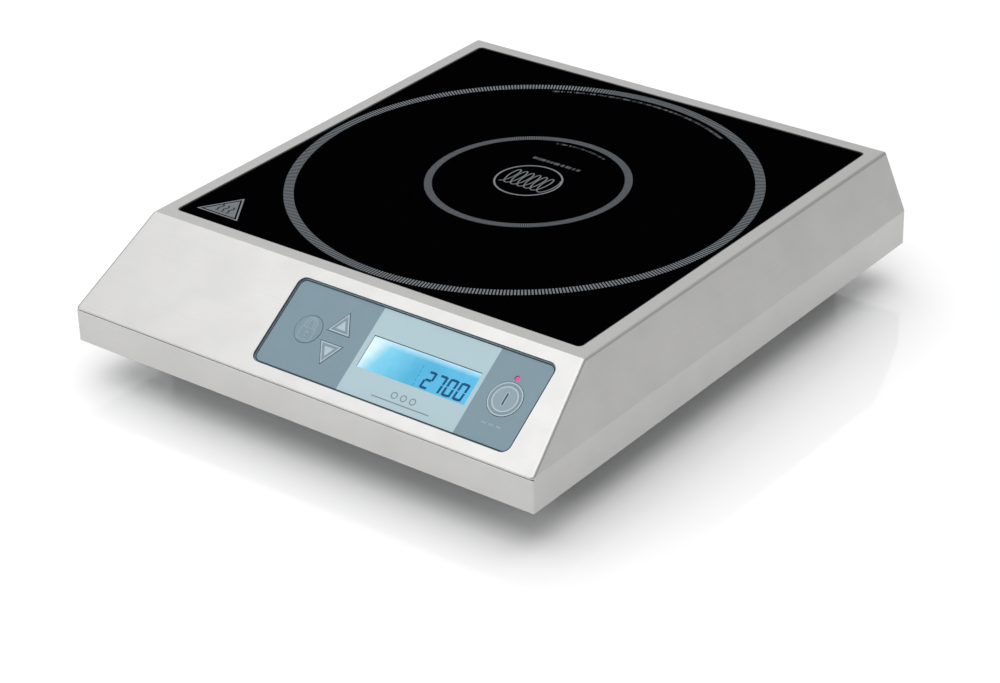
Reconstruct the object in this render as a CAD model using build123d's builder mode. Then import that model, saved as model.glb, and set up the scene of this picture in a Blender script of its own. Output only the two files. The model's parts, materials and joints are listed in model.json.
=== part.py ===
"""Countertop induction hot plate: a folded stainless housing with a sloping control face, a flush
square glass-ceramic plate, a litz coil on a ferrite carrier, its power electronics and cooling fan,
and a recessed membrane keypad with a backlit display.

The frame: +X is to the user's right, +Y away from the user, +Z up. The origin is on the surface that
the feet stand on, below the middle of the overall length and width. Lengths are in millimetres.
"""

import os
from math import atan2, cos, degrees, hypot, pi, radians, sin

from build123d import *

# ---------------------------------------------------------------- driving dimensions
SHEET = 1.2  # thickness of the folded stainless sheet
GAP = 0.1  # between flat faces that are laid against each other
FIT = 0.3  # between a round piece and the hole it is fixed in

GLASS_SIDE = 300.0
GLASS_THICK = 4.0
SEAL_WIDTH = 1.0  # silicone joint between the glass and the rim
TOP_SIDE = 321.0  # outside of the flat rim round the glass

BODY_WIDTH = 341.0
BODY_DEPTH = 392.0
RIM_Z = 90.0  # top of the rim and of the glass
FOOT_HEIGHT = 26.0  # the housing's lower edge stands this far above the surface
LIP_HEIGHT = 22.5  # upright band round the foot of the housing
FRONT_RUN = 61.5  # horizontal run of the sloping control face
GLAND_REACH = 18.0  # how far the cord gland stands out behind the housing

# ---------------------------------------------------------------- places that follow from them
FRONT_Y = -(BODY_DEPTH + GLAND_REACH) / 2
BACK_Y = FRONT_Y + BODY_DEPTH
BODY_Y = (FRONT_Y + BACK_Y) / 2
GLASS_Y = FRONT_Y + FRONT_RUN + TOP_SIDE / 2
OPENING = GLASS_SIDE + 2 * SEAL_WIDTH

SKIRT_Z = FOOT_HEIGHT
BEND_Z = SKIRT_Z + LIP_HEIGHT  # where the upright band meets the sloping faces
SEAM_Z = BEND_Z - 1.2  # where the sloping sheet, folded down a little, ends above the front band
RISE = RIM_Z - BEND_Z
SIDE_FLARE = (BODY_WIDTH - TOP_SIDE) / 2
BACK_FLARE = BODY_DEPTH - FRONT_RUN - TOP_SIDE

BASE_Z = SKIRT_Z + 0.2  # underside of the base plate
FLOOR_Z = BASE_Z + SHEET  # inside floor of the housing
FLANGE_WIDTH = 14.0
GLASS_Z = RIM_Z - GLASS_THICK  # underside of the glass

# The sloping control face: local x to the right, local y up the slope, local z out of the face.
SLOPE_ANGLE = atan2(RISE, FRONT_RUN)
SLOPE_LENGTH = hypot(RISE, FRONT_RUN)
SLOPE = Plane(
    origin=(0, FRONT_Y + FRONT_RUN, RIM_Z),
    x_dir=(1, 0, 0),
    z_dir=(0, -sin(SLOPE_ANGLE), cos(SLOPE_ANGLE)),
)

# ---------------------------------------------------------------- control panel
PANEL_WIDTH = 185.0
PANEL_HEIGHT = 59.0
PANEL_RADIUS = 5.5
PANEL = Plane(
    origin=SLOPE.from_local_coords((55.7, -SLOPE_LENGTH / 2, 0)),
    x_dir=SLOPE.x_dir,
    z_dir=SLOPE.z_dir,
)
OVERLAY_THICK = 0.4
OVERLAY_MARGIN = 0.7  # dark joint left between the overlay and the opening in the steel
GASKET_THICK = 0.6
FILM_BACK = -SHEET - GASKET_THICK  # where the overlay lies on its carrier
CARRIER_THICK = 2.0
CARRIER_WIDTH = PANEL_WIDTH + 15
CARRIER_HEIGHT = PANEL_HEIGHT + 7
CARRIER_BACK = FILM_BACK - CARRIER_THICK
BOARD_FACE = -12.0  # component side of the control board, below the outer face of the steel
BOARD_THICK = 1.6

KEY_GAP = 0.3  # round each moving key
KEY_TRAVEL = 0.5
KEY_PROUD = 0.15
POWER_KEY_RADIUS = 10.8
ARROW_RADIUS = 9.2  # circle through an arrow key's corners
LOCK_RADIUS = 9.0
POWER_AT = (72.6, 0.5)
UP_AT = (-48.7, 8.3)
DOWN_AT = (-48.7, -8.0)
LOCK_AT = (-68.6, 0.2)
LED_AT = (72.4, 14.4)
LED_RADIUS = 1.5

LCD_AT = (12.6, -0.2)
LCD_WINDOW = (76.6, 21.2)
LCD_GLASS = (82.0, 26.0)

STUDS = [(x, y) for x in (-96.5, 96.5) for y in (-20, 20)]
PANEL_POSTS = [(x, y) for x in (-84, 84) for y in (-25, 25)]

STEM_RADIUS = 1.6
STEM_END = -9.5
SWITCH_TOP = -8.5

# ---------------------------------------------------------------- inside
COIL_TOP = GLASS_Z - 1.2
COIL_THICK = 5.0
COIL_INNER = 32.0
COIL_PITCH = 3.8
COIL_TURNS = 19
LITZ_WIDTH = 3.2
LEAD_RADIUS = 1.8
CARRIER_DISC = 2.5
FERRITE_THICK = 5.0
DISC_Z = COIL_TOP - COIL_THICK - CARRIER_DISC
FERRITE_Z = DISC_Z - FERRITE_THICK
SHIELD_Z = FERRITE_Z - SHEET
POST_RADIUS = 122.0
POSTS = [(POST_RADIUS, GLASS_Y), (-POST_RADIUS, GLASS_Y), (0, GLASS_Y + POST_RADIUS), (0, GLASS_Y - POST_RADIUS)]

BOARD_X, BOARD_Y = -37.5, GLASS_Y + 63
BOARD_SIZE = (145.0, 100.0)
STANDOFF = 8.0
BOARD_Z = FLOOR_Z + STANDOFF
BOARD_TOP = BOARD_Z + BOARD_THICK

FAN_X, FAN_Y = 84.0, GLASS_Y + 62
FAN_SIDE = 92.0
FAN_DEPTH = 25.0
FAN_HOLES = 82.5  # between the fan's mounting holes
FAN_BORE = 44.5
FAN_Z = FLOOR_Z
ROTOR_Z = FAN_Z + 4.0
HUB_RADIUS = 17.0
BLADES = 7

FOOT_RADIUS = 15.0
FOOT_X = BODY_WIDTH / 2 - 40.0
FEET = [(x, y) for x in (-FOOT_X, FOOT_X) for y in (FRONT_Y + 55, BACK_Y - 42.5)]

GLAND_X = -100.0
GLAND_Z = SKIRT_Z + 13.0
GLAND_THREAD = 7.5
CORD_BORE = 4.5

BLOCK_X, BLOCK_Y = -100.0, BACK_Y - 34
EARTH_AT = (-66.0, BACK_Y - 20)

FLANGE_MID = BODY_WIDTH / 2 - SHEET - FLANGE_WIDTH / 2
BASE_SCREWS = [(side * FLANGE_MID, GLASS_Y + y) for side in (-1, 1) for y in (-170, -30, 110)]
BASE_SCREWS += [(x, FRONT_Y + 8) for x in (-85, 85)] + [(x, BACK_Y - 8) for x in (-60, 60)]

pieces = {}


def frame_on(plane, at, height=0.0):
    """The plane moved to a point of its own, keeping its directions."""
    return Plane(
        origin=plane.from_local_coords((*at, height)), x_dir=plane.x_dir, z_dir=plane.z_dir
    )


# ================================================================ housing
with BuildPart() as top_housing:
    with BuildSketch(Plane.XY.offset(BEND_Z)):
        with Locations((0, BODY_Y)):
            Rectangle(BODY_WIDTH, BODY_DEPTH)
    with BuildSketch(Plane.XY.offset(RIM_Z)):
        with Locations((0, GLASS_Y)):
            Rectangle(TOP_SIDE, TOP_SIDE)
    loft(ruled=True)
    with BuildSketch(Plane.XY.offset(SKIRT_Z)):
        with Locations((0, BODY_Y)):
            Rectangle(BODY_WIDTH, BODY_DEPTH)
    extrude(amount=LIP_HEIGHT)
    # The folds round the rim and down the corners.
    folds = top_housing.edges().filter_by(lambda e: abs(e.tangent_at(0.5).Z) > 0.3)
    fillet([*folds, *top_housing.edges().group_by(Axis.Z)[-1]], 2)
    # Room for the front band, which is a piece of its own.
    with BuildSketch(Plane.XZ.offset(-FRONT_Y - SHEET - GAP)):
        with Locations((0, (SKIRT_Z + SEAM_Z) / 2 - 1)):
            Rectangle(BODY_WIDTH + 2, SEAM_Z - SKIRT_Z + 2)
    extrude(amount=SHEET + 4, mode=Mode.SUBTRACT)
    # The hollow inside the sheet: sloping part, upright part and the way in from below.
    slope_inset = SHEET / sin(SLOPE_ANGLE)
    for level in (BEND_Z, RIM_Z - SHEET):
        climb = (level - BEND_Z) / RISE
        half = BODY_WIDTH / 2 - SIDE_FLARE * climb - SHEET - 0.1
        front = FRONT_Y + FRONT_RUN * climb + slope_inset
        back = BACK_Y - BACK_FLARE * climb - SHEET - 0.1
        with BuildSketch(Plane.XY.offset(level)):
            with Locations((0, (front + back) / 2)):
                Rectangle(2 * half, back - front)
    loft(ruled=True, mode=Mode.SUBTRACT)
    with BuildSketch(Plane.XY.offset(FLOOR_Z + SHEET)):
        with Locations((0, BODY_Y)):
            Rectangle(BODY_WIDTH - 2 * SHEET, BODY_DEPTH - 2 * SHEET)
    extrude(amount=BEND_Z - FLOOR_Z - SHEET, mode=Mode.SUBTRACT)
    with BuildSketch(Plane.XY.offset(FLOOR_Z)):
        with Locations((0, BODY_Y)):
            Rectangle(BODY_WIDTH - 2 * (SHEET + FLANGE_WIDTH), BODY_DEPTH - 2 * (SHEET + FLANGE_WIDTH))
    extrude(amount=2 * SHEET, mode=Mode.SUBTRACT)
    with BuildSketch(Plane.XY.offset(SKIRT_Z)):
        with Locations((0, BODY_Y)):
            Rectangle(BODY_WIDTH - 2 * SHEET, BODY_DEPTH - 2 * SHEET)
    extrude(amount=FLOOR_Z - SKIRT_Z, mode=Mode.SUBTRACT)
    with BuildSketch(Plane.XY.offset(SKIRT_Z - 1)):
        with Locations((0, FRONT_Y + FLANGE_WIDTH / 2)):
            Rectangle(BODY_WIDTH - 2 * SHEET, FLANGE_WIDTH + 3)
    extrude(amount=6, mode=Mode.SUBTRACT)
    # Openings: glass, control panel, air outlets, gland and screw holes.
    with BuildSketch(Plane.XY.offset(RIM_Z + 1)):
        with Locations((0, GLASS_Y)):
            RectangleRounded(OPENING, OPENING, 3.5)
    extrude(amount=-4, mode=Mode.SUBTRACT)
    with BuildSketch(PANEL.offset(1)):
        RectangleRounded(PANEL_WIDTH, PANEL_HEIGHT, PANEL_RADIUS)
    extrude(amount=-4, mode=Mode.SUBTRACT)
    back_lean = atan2(BACK_FLARE, RISE)
    with BuildSketch(
        Plane(
            origin=(0, (BACK_Y + GLASS_Y + TOP_SIDE / 2) / 2, (BEND_Z + RIM_Z) / 2),
            x_dir=(-1, 0, 0),
            z_dir=(0, cos(back_lean), sin(back_lean)),
        ).offset(2)
    ):
        with Locations((-78, 0), (78, 0)):
            with GridLocations(8, 0, 15, 1):
                SlotOverall(26, 3.2, rotation=90)
    extrude(amount=-5, mode=Mode.SUBTRACT)
    with BuildSketch(Plane.XZ.offset(-BACK_Y - 1)):
        with Locations((GLAND_X, GLAND_Z)):
            Circle(GLAND_THREAD + FIT)
    extrude(amount=4, mode=Mode.SUBTRACT)
    with BuildSketch(Plane.XY.offset(FLOOR_Z - 1)):
        with Locations(*BASE_SCREWS):
            Circle(2 + FIT)
    extrude(amount=3, mode=Mode.SUBTRACT)
    # Weld studs for the panel carrier.
    with BuildSketch(PANEL.offset(-SHEET)):
        with Locations(*STUDS):
            Circle(1.5)
    extrude(amount=-6.5)
pieces["top_housing"] = top_housing

# The upright front band closes the housing below the control face, with a hairline joint above it.
SEAM = 0.5
with BuildPart() as front_lip:
    with BuildSketch(Plane.XY.offset(SKIRT_Z)):
        with Locations((0, FRONT_Y + SHEET / 2)):
            Rectangle(BODY_WIDTH, SHEET)
    extrude(amount=SEAM_Z - SEAM - SKIRT_Z)
    fillet(front_lip.edges().filter_by(Axis.Z).group_by(Axis.Y)[0], 1.0)
    fillet(front_lip.faces().sort_by(Axis.Y)[0].edges().filter_by(Axis.X), 0.3)
    with BuildSketch(Plane.XY.offset(FLOOR_Z)):
        with Locations((0, FRONT_Y + SHEET / 2 + FLANGE_WIDTH / 2)):
            Rectangle(BODY_WIDTH - 2 * SHEET - 2, FLANGE_WIDTH)
    extrude(amount=SHEET)
    with BuildSketch(Plane.XY.offset(FLOOR_Z - 1)):
        with Locations(*[p for p in BASE_SCREWS if p[1] < FRONT_Y + FLANGE_WIDTH]):
            Circle(2 + FIT)
    extrude(amount=3, mode=Mode.SUBTRACT)
pieces["front_lip"] = front_lip

# ================================================================ glass, its seal and its ledge
with BuildPart() as glass_plate:
    with BuildSketch(Plane.XY.offset(GLASS_Z)):
        with Locations((0, GLASS_Y)):
            RectangleRounded(GLASS_SIDE, GLASS_SIDE, 2.5)
    extrude(amount=GLASS_THICK)
    chamfer(glass_plate.faces().sort_by(Axis.Z)[-1].edges(), 0.3)
pieces["glass_plate"] = glass_plate

LEDGE_TOP = GLASS_Z - 0.2
with BuildPart() as glass_seal:
    with BuildSketch(Plane.XY.offset(LEDGE_TOP)):
        with Locations((0, GLASS_Y)):
            RectangleRounded(OPENING - GAP, OPENING - GAP, 3.7)
            Rectangle(GLASS_SIDE - 12, GLASS_SIDE - 12, mode=Mode.SUBTRACT)
    extrude(amount=GLASS_Z - LEDGE_TOP)
    with BuildSketch(Plane.XY.offset(GLASS_Z)):
        with Locations((0, GLASS_Y)):
            RectangleRounded(OPENING - GAP, OPENING - GAP, 3.7)
            RectangleRounded(GLASS_SIDE + 0.02, GLASS_SIDE + 0.02, 2.5, mode=Mode.SUBTRACT)
    extrude(amount=GLASS_THICK - 0.4)
pieces["glass_seal"] = glass_seal

with BuildPart() as glass_ledge:
    for low, high, outer, inner in (
        (RIM_Z - 2 * SHEET, RIM_Z - SHEET, OPENING + 14, OPENING),
        (LEDGE_TOP - SHEET, RIM_Z - SHEET, OPENING + 2 * SHEET, OPENING),
        (LEDGE_TOP - SHEET, LEDGE_TOP, OPENING + 2 * SHEET, OPENING - 20),
    ):
        with BuildSketch(Plane.XY.offset(low)):
            with Locations((0, GLASS_Y)):
                RectangleRounded(outer, outer, 4)
                RectangleRounded(inner, inner, 3.5, mode=Mode.SUBTRACT)
        extrude(amount=high - low)
pieces["glass_ledge"] = glass_ledge

# ================================================================ base plate, feet and fasteners
with BuildPart() as base_plate:
    with BuildSketch(Plane.XY.offset(BASE_Z)):
        with Locations((0, BODY_Y)):
            RectangleRounded(BODY_WIDTH - 2 * SHEET - 0.4, BODY_DEPTH - 2 * SHEET - 0.4, 2)
    extrude(amount=SHEET)
    with BuildSketch(Plane.XY.offset(BASE_Z - 1)):
        with Locations((FAN_X, FAN_Y)):
            with GridLocations(7, 28, 11, 3):
                SlotOverall(24, 3.5, rotation=90)
            with GridLocations(FAN_HOLES, FAN_HOLES, 2, 2):
                Circle(2 + FIT)
        with Locations(*FEET, *POSTS, *BASE_SCREWS):
            Circle(2 + FIT)
        with Locations((-80, -80)):
            with GridLocations(9, 38, 12, 3):
                SlotOverall(30, 4, rotation=90)
        with Locations((60, -80)):
            with GridLocations(9, 38, 8, 3):
                SlotOverall(30, 4, rotation=90)
    extrude(amount=3, mode=Mode.SUBTRACT)
    # Weld stud for the earth lead.
    with BuildSketch(Plane(origin=(*EARTH_AT, FLOOR_Z))):
        Circle(4)
    extrude(amount=3)
    with BuildSketch(Plane(origin=(*EARTH_AT, FLOOR_Z + 3))):
        Circle(2)
    extrude(amount=7)
pieces["base_plate"] = base_plate

with BuildPart() as rubber_feet:
    for foot_at in FEET:
        with BuildSketch(Plane(origin=(*foot_at, 0))):
            Circle(FOOT_RADIUS - 1)
        with BuildSketch(Plane(origin=(*foot_at, BASE_Z))):
            Circle(FOOT_RADIUS)
        loft()
        with BuildSketch(Plane(origin=(*foot_at, 0))):
            Circle(6)
        extrude(amount=16, mode=Mode.SUBTRACT)
        with BuildSketch(Plane(origin=(*foot_at, 15))):
            Circle(2 + FIT)
        extrude(amount=15, mode=Mode.SUBTRACT)
    rims = rubber_feet.edges().group_by(Axis.Z)[0].filter_by(lambda e: e.radius > 10)
    fillet(rims, 1.5)
pieces["rubber_feet"] = rubber_feet

with BuildPart() as foot_screws:
    for foot_at in FEET:
        with BuildSketch(Plane(origin=(*foot_at, 16))):
            Circle(4)
        extrude(amount=-2.6)
        with BuildSketch(Plane(origin=(*foot_at, 16))):
            Circle(2)
        extrude(amount=BASE_Z + SHEET + 6 - 16)
        with BuildSketch(Plane(origin=(*foot_at, 13.4))):
            RegularPolygon(1.5, 6)
        extrude(amount=1.4, mode=Mode.SUBTRACT)
pieces["foot_screws"] = foot_screws

with BuildPart() as base_screws:
    for screw_at in BASE_SCREWS + POSTS:
        with BuildSketch(Plane(origin=(*screw_at, BASE_Z))):
            Circle(3.8)
        extrude(amount=-2.2)
        with BuildSketch(Plane(origin=(*screw_at, BASE_Z))):
            Circle(2)
        extrude(amount=7)
        with BuildSketch(Plane(origin=(*screw_at, BASE_Z - 2.2))):
            Rectangle(4.4, 1)
            Rectangle(1, 4.4)
        extrude(amount=1.2, mode=Mode.SUBTRACT)
    fillet(base_screws.edges().group_by(Axis.Z)[0].filter_by(GeomType.CIRCLE), 0.8)
pieces["base_screws"] = base_screws

# ================================================================ cord gland in the rear band
GLAND = Plane(origin=(GLAND_X, BACK_Y, GLAND_Z), x_dir=(-1, 0, 0), z_dir=(0, 1, 0))
with BuildPart() as gland_body:
    with BuildSketch(GLAND):
        RegularPolygon(10.4, 6)
    extrude(amount=5)
    with BuildSketch(GLAND.offset(5)):
        Circle(GLAND_THREAD)
    extrude(amount=6)
    with BuildSketch(GLAND):
        Circle(GLAND_THREAD)
    extrude(amount=-11)
    with BuildSketch(GLAND.offset(-12)):
        Circle(CORD_BORE)
    extrude(amount=24, mode=Mode.SUBTRACT)
pieces["gland_body"] = gland_body

with BuildPart() as gland_nut:
    with BuildSketch(GLAND.offset(5 + GAP)):
        RegularPolygon(10.4, 6)
    extrude(amount=7.5)
    with BuildSketch(GLAND.offset(5 + GAP + 7.5)):
        Circle(9)
    extrude(amount=GLAND_REACH - 5 - GAP - 7.5)
    fillet(gland_nut.edges().group_by(Axis.Y)[-1], 3)
    with BuildSketch(GLAND.offset(5)):
        Circle(GLAND_THREAD + FIT)
    extrude(amount=6.1, mode=Mode.SUBTRACT)
    with BuildSketch(GLAND.offset(5)):
        Circle(CORD_BORE + 1)
    extrude(amount=GLAND_REACH, mode=Mode.SUBTRACT)
pieces["gland_nut"] = gland_nut

with BuildPart() as gland_locknut:
    with BuildSketch(GLAND.offset(-SHEET)):
        RegularPolygon(10, 6)
        Circle(GLAND_THREAD + FIT, mode=Mode.SUBTRACT)
    extrude(amount=-4)
pieces["gland_locknut"] = gland_locknut


# ================================================================ control panel
def key_outline(name, grow=0.0):
    """Sketches the outline of one key in the open sketch, grown all round by grow."""
    if name == "key_power":
        Circle(POWER_KEY_RADIUS + grow)
    elif name == "key_lock":
        Circle(LOCK_RADIUS + grow)
    else:
        RegularPolygon(ARROW_RADIUS + 2 * grow, 3, rotation=90 if name == "key_up" else -90)


KEYS = {"key_lock": LOCK_AT, "key_up": UP_AT, "key_down": DOWN_AT, "key_power": POWER_AT}

with BuildPart() as panel_overlay:
    with BuildSketch(PANEL.offset(FILM_BACK)):
        RectangleRounded(
            PANEL_WIDTH - 2 * OVERLAY_MARGIN, PANEL_HEIGHT - 2 * OVERLAY_MARGIN, PANEL_RADIUS - OVERLAY_MARGIN
        )
        with Locations(LCD_AT):
            Rectangle(*[side + 2 * GAP for side in LCD_WINDOW], mode=Mode.SUBTRACT)
        with Locations(LED_AT):
            Circle(LED_RADIUS + GAP, mode=Mode.SUBTRACT)
    extrude(amount=OVERLAY_THICK)
    for key_name, key_at in KEYS.items():
        with BuildSketch(frame_on(PANEL, key_at, FILM_BACK - 1)):
            key_outline(key_name, KEY_GAP)
        extrude(amount=3, mode=Mode.SUBTRACT)
pieces["panel_overlay"] = panel_overlay

with BuildPart() as panel_gasket:
    with BuildSketch(PANEL.offset(FILM_BACK)):
        RectangleRounded(CARRIER_WIDTH, CARRIER_HEIGHT, 4)
        RectangleRounded(PANEL_WIDTH, PANEL_HEIGHT, PANEL_RADIUS, mode=Mode.SUBTRACT)
        with Locations(*STUDS):
            Circle(1.5 + FIT, mode=Mode.SUBTRACT)
    extrude(amount=GASKET_THICK)
pieces["panel_gasket"] = panel_gasket

with BuildPart() as panel_carrier:
    with BuildSketch(PANEL.offset(CARRIER_BACK)):
        RectangleRounded(CARRIER_WIDTH, CARRIER_HEIGHT, 4)
    extrude(amount=CARRIER_THICK)
    with BuildSketch(PANEL.offset(BOARD_FACE)):
        with Locations(*PANEL_POSTS):
            Circle(3)
    extrude(amount=CARRIER_BACK - BOARD_FACE)
    with BuildSketch(PANEL.offset(BOARD_FACE)):
        with Locations(*PANEL_POSTS):
            Circle(1.25 + FIT)
    extrude(amount=6, mode=Mode.SUBTRACT)
    with BuildSketch(PANEL.offset(CARRIER_BACK - 1)):
        with Locations(LCD_AT):
            Rectangle(LCD_WINDOW[0] + 1, LCD_WINDOW[1] + 1)
        with Locations(*STUDS):
            Circle(1.5 + FIT)
        with Locations(LED_AT):
            Circle(LED_RADIUS + FIT)
        with Locations(*KEYS.values()):
            Circle(STEM_RADIUS + 0.6)
    extrude(amount=CARRIER_THICK + 2, mode=Mode.SUBTRACT)
    for key_name, key_at in KEYS.items():
        with BuildSketch(frame_on(PANEL, key_at, FILM_BACK - 1.2)):
            key_outline(key_name, KEY_GAP + 0.2)
        extrude(amount=1.2, mode=Mode.SUBTRACT)
pieces["panel_carrier"] = panel_carrier

for key_name, key_at in KEYS.items():
    with BuildPart() as key:
        with BuildSketch(frame_on(PANEL, key_at, FILM_BACK)):
            key_outline(key_name)
        extrude(amount=OVERLAY_THICK + KEY_PROUD)
        with BuildSketch(frame_on(PANEL, key_at, FILM_BACK)):
            Circle(STEM_RADIUS)
        extrude(amount=STEM_END - FILM_BACK)
    pieces[key_name] = key

with BuildPart() as panel_nuts:
    with BuildSketch(PANEL.offset(CARRIER_BACK)):
        with Locations(*STUDS):
            RegularPolygon(3.1, 6)
            Circle(1.5 + FIT, mode=Mode.SUBTRACT)
    extrude(amount=-2.4)
pieces["panel_nuts"] = panel_nuts

LCD = frame_on(PANEL, LCD_AT)
with BuildPart() as lcd_window:
    with BuildSketch(LCD.offset(FILM_BACK)):
        Rectangle(*LCD_WINDOW)
    extrude(amount=OVERLAY_THICK)
pieces["lcd_window"] = lcd_window

LCD_FRONT = CARRIER_BACK - 0.1
with BuildPart() as lcd_cell:
    with BuildSketch(LCD.offset(LCD_FRONT)):
        Rectangle(*LCD_GLASS)
    extrude(amount=-2.8)
pieces["lcd_cell"] = lcd_cell

with BuildPart() as lcd_backlight:
    with BuildSketch(LCD.offset(LCD_FRONT - 2.9)):
        Rectangle(*LCD_GLASS)
    extrude(amount=-3)
pieces["lcd_backlight"] = lcd_backlight

with BuildPart() as lcd_holder:
    with BuildSketch(LCD.offset(BOARD_FACE)):
        RectangleRounded(LCD_GLASS[0] + 5, LCD_GLASS[1] + 5, 2)
        Rectangle(LCD_GLASS[0] + 2 * GAP, LCD_GLASS[1] + 2 * GAP, mode=Mode.SUBTRACT)
    extrude(amount=LCD_FRONT - BOARD_FACE)
pieces["lcd_holder"] = lcd_holder

with BuildPart() as power_led:
    lens = frame_on(PANEL, LED_AT, FILM_BACK + OVERLAY_THICK - LED_RADIUS)
    with BuildSketch(lens):
        Circle(LED_RADIUS)
    extrude(amount=BOARD_FACE - FILM_BACK - OVERLAY_THICK + LED_RADIUS)
    with Locations(lens.location):
        Sphere(LED_RADIUS)
pieces["power_led"] = power_led

with BuildPart() as control_board:
    with BuildSketch(PANEL.offset(BOARD_FACE)):
        RectangleRounded(176, 56, 2)
        with Locations(*PANEL_POSTS):
            Circle(1.6, mode=Mode.SUBTRACT)
    extrude(amount=-BOARD_THICK)
pieces["control_board"] = control_board

with BuildPart() as key_switches:
    with BuildSketch(PANEL.offset(BOARD_FACE)):
        with Locations(*KEYS.values()):
            RectangleRounded(6.2, 6.2, 0.5)
    extrude(amount=SWITCH_TOP - BOARD_FACE)
    with BuildSketch(PANEL.offset(SWITCH_TOP)):
        with Locations(*KEYS.values()):
            Circle(STEM_RADIUS + 0.3)
    extrude(amount=-2.4, mode=Mode.SUBTRACT)
pieces["key_switches"] = key_switches

CHIP_FACE = BOARD_FACE - BOARD_THICK
with BuildPart() as control_chips:
    with BuildSketch(PANEL.offset(CHIP_FACE)):
        with Locations((-10, 4)):
            Rectangle(12, 12)
        with Locations((30, -6), (46, -6)):
            Rectangle(9, 5)
        with Locations((-60, 10), (-60, -10), (60, 12)):
            Rectangle(6, 4)
    extrude(amount=-1.8)
pieces["control_chips"] = control_chips

with BuildPart() as buzzer:
    with BuildSketch(frame_on(PANEL, (-35, 0), CHIP_FACE)):
        Circle(6)
    extrude(amount=-6)
    with BuildSketch(frame_on(PANEL, (-35, 0), CHIP_FACE - 6)):
        Circle(1)
    extrude(amount=2, mode=Mode.SUBTRACT)
pieces["buzzer"] = buzzer

with BuildPart() as panel_screws:
    with BuildSketch(PANEL.offset(CHIP_FACE)):
        with Locations(*PANEL_POSTS):
            Circle(2.6)
    extrude(amount=-1.8)
    with BuildSketch(PANEL.offset(CHIP_FACE)):
        with Locations(*PANEL_POSTS):
            Circle(1.25)
    extrude(amount=6)
pieces["panel_screws"] = panel_screws

# ================================================================ coil stack below the glass
with BuildPart() as mica_sheet:
    with BuildSketch(Plane(origin=(0, GLASS_Y, COIL_TOP + 0.2))):
        Circle(112)
        Circle(8, mode=Mode.SUBTRACT)
    extrude(amount=0.6)
pieces["mica_sheet"] = mica_sheet


def coil_edge(side):
    """Half-turn arcs of the coil's inner (-1) or outer (+1) edge, from the middle outwards.

    The arcs' centres alternate between two points half a pitch apart, which makes a smooth spiral.
    """
    for half_turn in range(2 * COIL_TURNS):
        radius = COIL_INNER + half_turn * COIL_PITCH / 2 + side * LITZ_WIDTH / 2
        even = half_turn % 2 == 0
        yield CenterArc((0 if even else COIL_PITCH / 2, 0), radius, 0 if even else 180, 180)


# Both ends of the winding lie between two ferrite bars, on the side of the power board.
COIL = Plane(
    origin=(0, GLASS_Y, COIL_TOP - COIL_THICK), x_dir=(-cos(pi / 8), sin(pi / 8), 0), z_dir=(0, 0, 1)
)
COIL_ENDS = [COIL.from_local_coords((r, 0, 0)) for r in (COIL_INNER, COIL_INNER + COIL_TURNS * COIL_PITCH)]

with BuildPart() as induction_coil:
    with BuildSketch(COIL):
        with BuildLine():
            inner = list(coil_edge(-1))
            outer = list(coil_edge(1))
            Line(inner[0] @ 0, outer[0] @ 0)
            Line(inner[-1] @ 1, outer[-1] @ 1)
        make_face()
    extrude(amount=COIL_THICK)
pieces["induction_coil"] = induction_coil

COIL_OUTER = COIL_INNER + COIL_TURNS * COIL_PITCH + LITZ_WIDTH
ARMS = 8
with BuildPart() as coil_carrier:
    with BuildSketch(Plane(origin=(0, GLASS_Y, DISC_Z))):
        Circle(COIL_OUTER + 3)
        Circle(COIL_OUTER - 6, mode=Mode.SUBTRACT)
        Circle(COIL_INNER - 2)
        with PolarLocations(COIL_OUTER / 2, ARMS):
            Rectangle(COIL_OUTER, 20)
        Circle(2, mode=Mode.SUBTRACT)
    extrude(amount=CARRIER_DISC)
    with BuildSketch(COIL):
        with Locations((COIL_INNER + COIL_TURNS * COIL_PITCH, 0)):
            Circle(LEAD_RADIUS + FIT)
    extrude(amount=-CARRIER_DISC, mode=Mode.SUBTRACT)
    with BuildSketch(Plane(origin=(0, GLASS_Y, DISC_Z + CARRIER_DISC))):
        Circle(COIL_INNER - 4)
        Circle(COIL_INNER - 6, mode=Mode.SUBTRACT)
        Circle(8)
        Circle(5 + FIT, mode=Mode.SUBTRACT)
    extrude(amount=COIL_THICK - 0.4)
pieces["coil_carrier"] = coil_carrier

with BuildPart() as ferrite_bars:
    with BuildSketch(Plane(origin=(0, GLASS_Y, FERRITE_Z))):
        with PolarLocations((COIL_INNER + COIL_OUTER) / 2, ARMS):
            RectangleRounded(COIL_OUTER - COIL_INNER - 6, 14, 1)
    extrude(amount=FERRITE_THICK)
pieces["ferrite_bars"] = ferrite_bars

with BuildPart() as coil_shield:
    with BuildSketch(Plane(origin=(0, GLASS_Y, SHIELD_Z))):
        Circle(COIL_OUTER + 4)
        with PolarLocations(POST_RADIUS - 8, 4):
            RectangleRounded(32, 24, 4)
        with PolarLocations(POST_RADIUS, 4):
            Circle(2 + FIT, mode=Mode.SUBTRACT)
        Circle(12, mode=Mode.SUBTRACT)
    extrude(amount=SHEET)
    with BuildSketch(Plane.XY.offset(SHIELD_Z - 1)):
        with Locations(*[(end.X, end.Y) for end in COIL_ENDS]):
            Circle(4)
    extrude(amount=4, mode=Mode.SUBTRACT)
pieces["coil_shield"] = coil_shield

POST_TOP = SHIELD_Z - 10
with BuildPart() as coil_posts:
    for post_at in POSTS:
        with BuildSketch(Plane(origin=(*post_at, FLOOR_Z))):
            RegularPolygon(5, 6)
        extrude(amount=POST_TOP - FLOOR_Z)
        with BuildSketch(Plane(origin=(*post_at, POST_TOP))):
            Circle(1.9)
        extrude(amount=15)
        with BuildSketch(Plane(origin=(*post_at, BASE_Z - 1))):
            Circle(2 + FIT)
        extrude(amount=10, mode=Mode.SUBTRACT)
pieces["coil_posts"] = coil_posts

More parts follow.
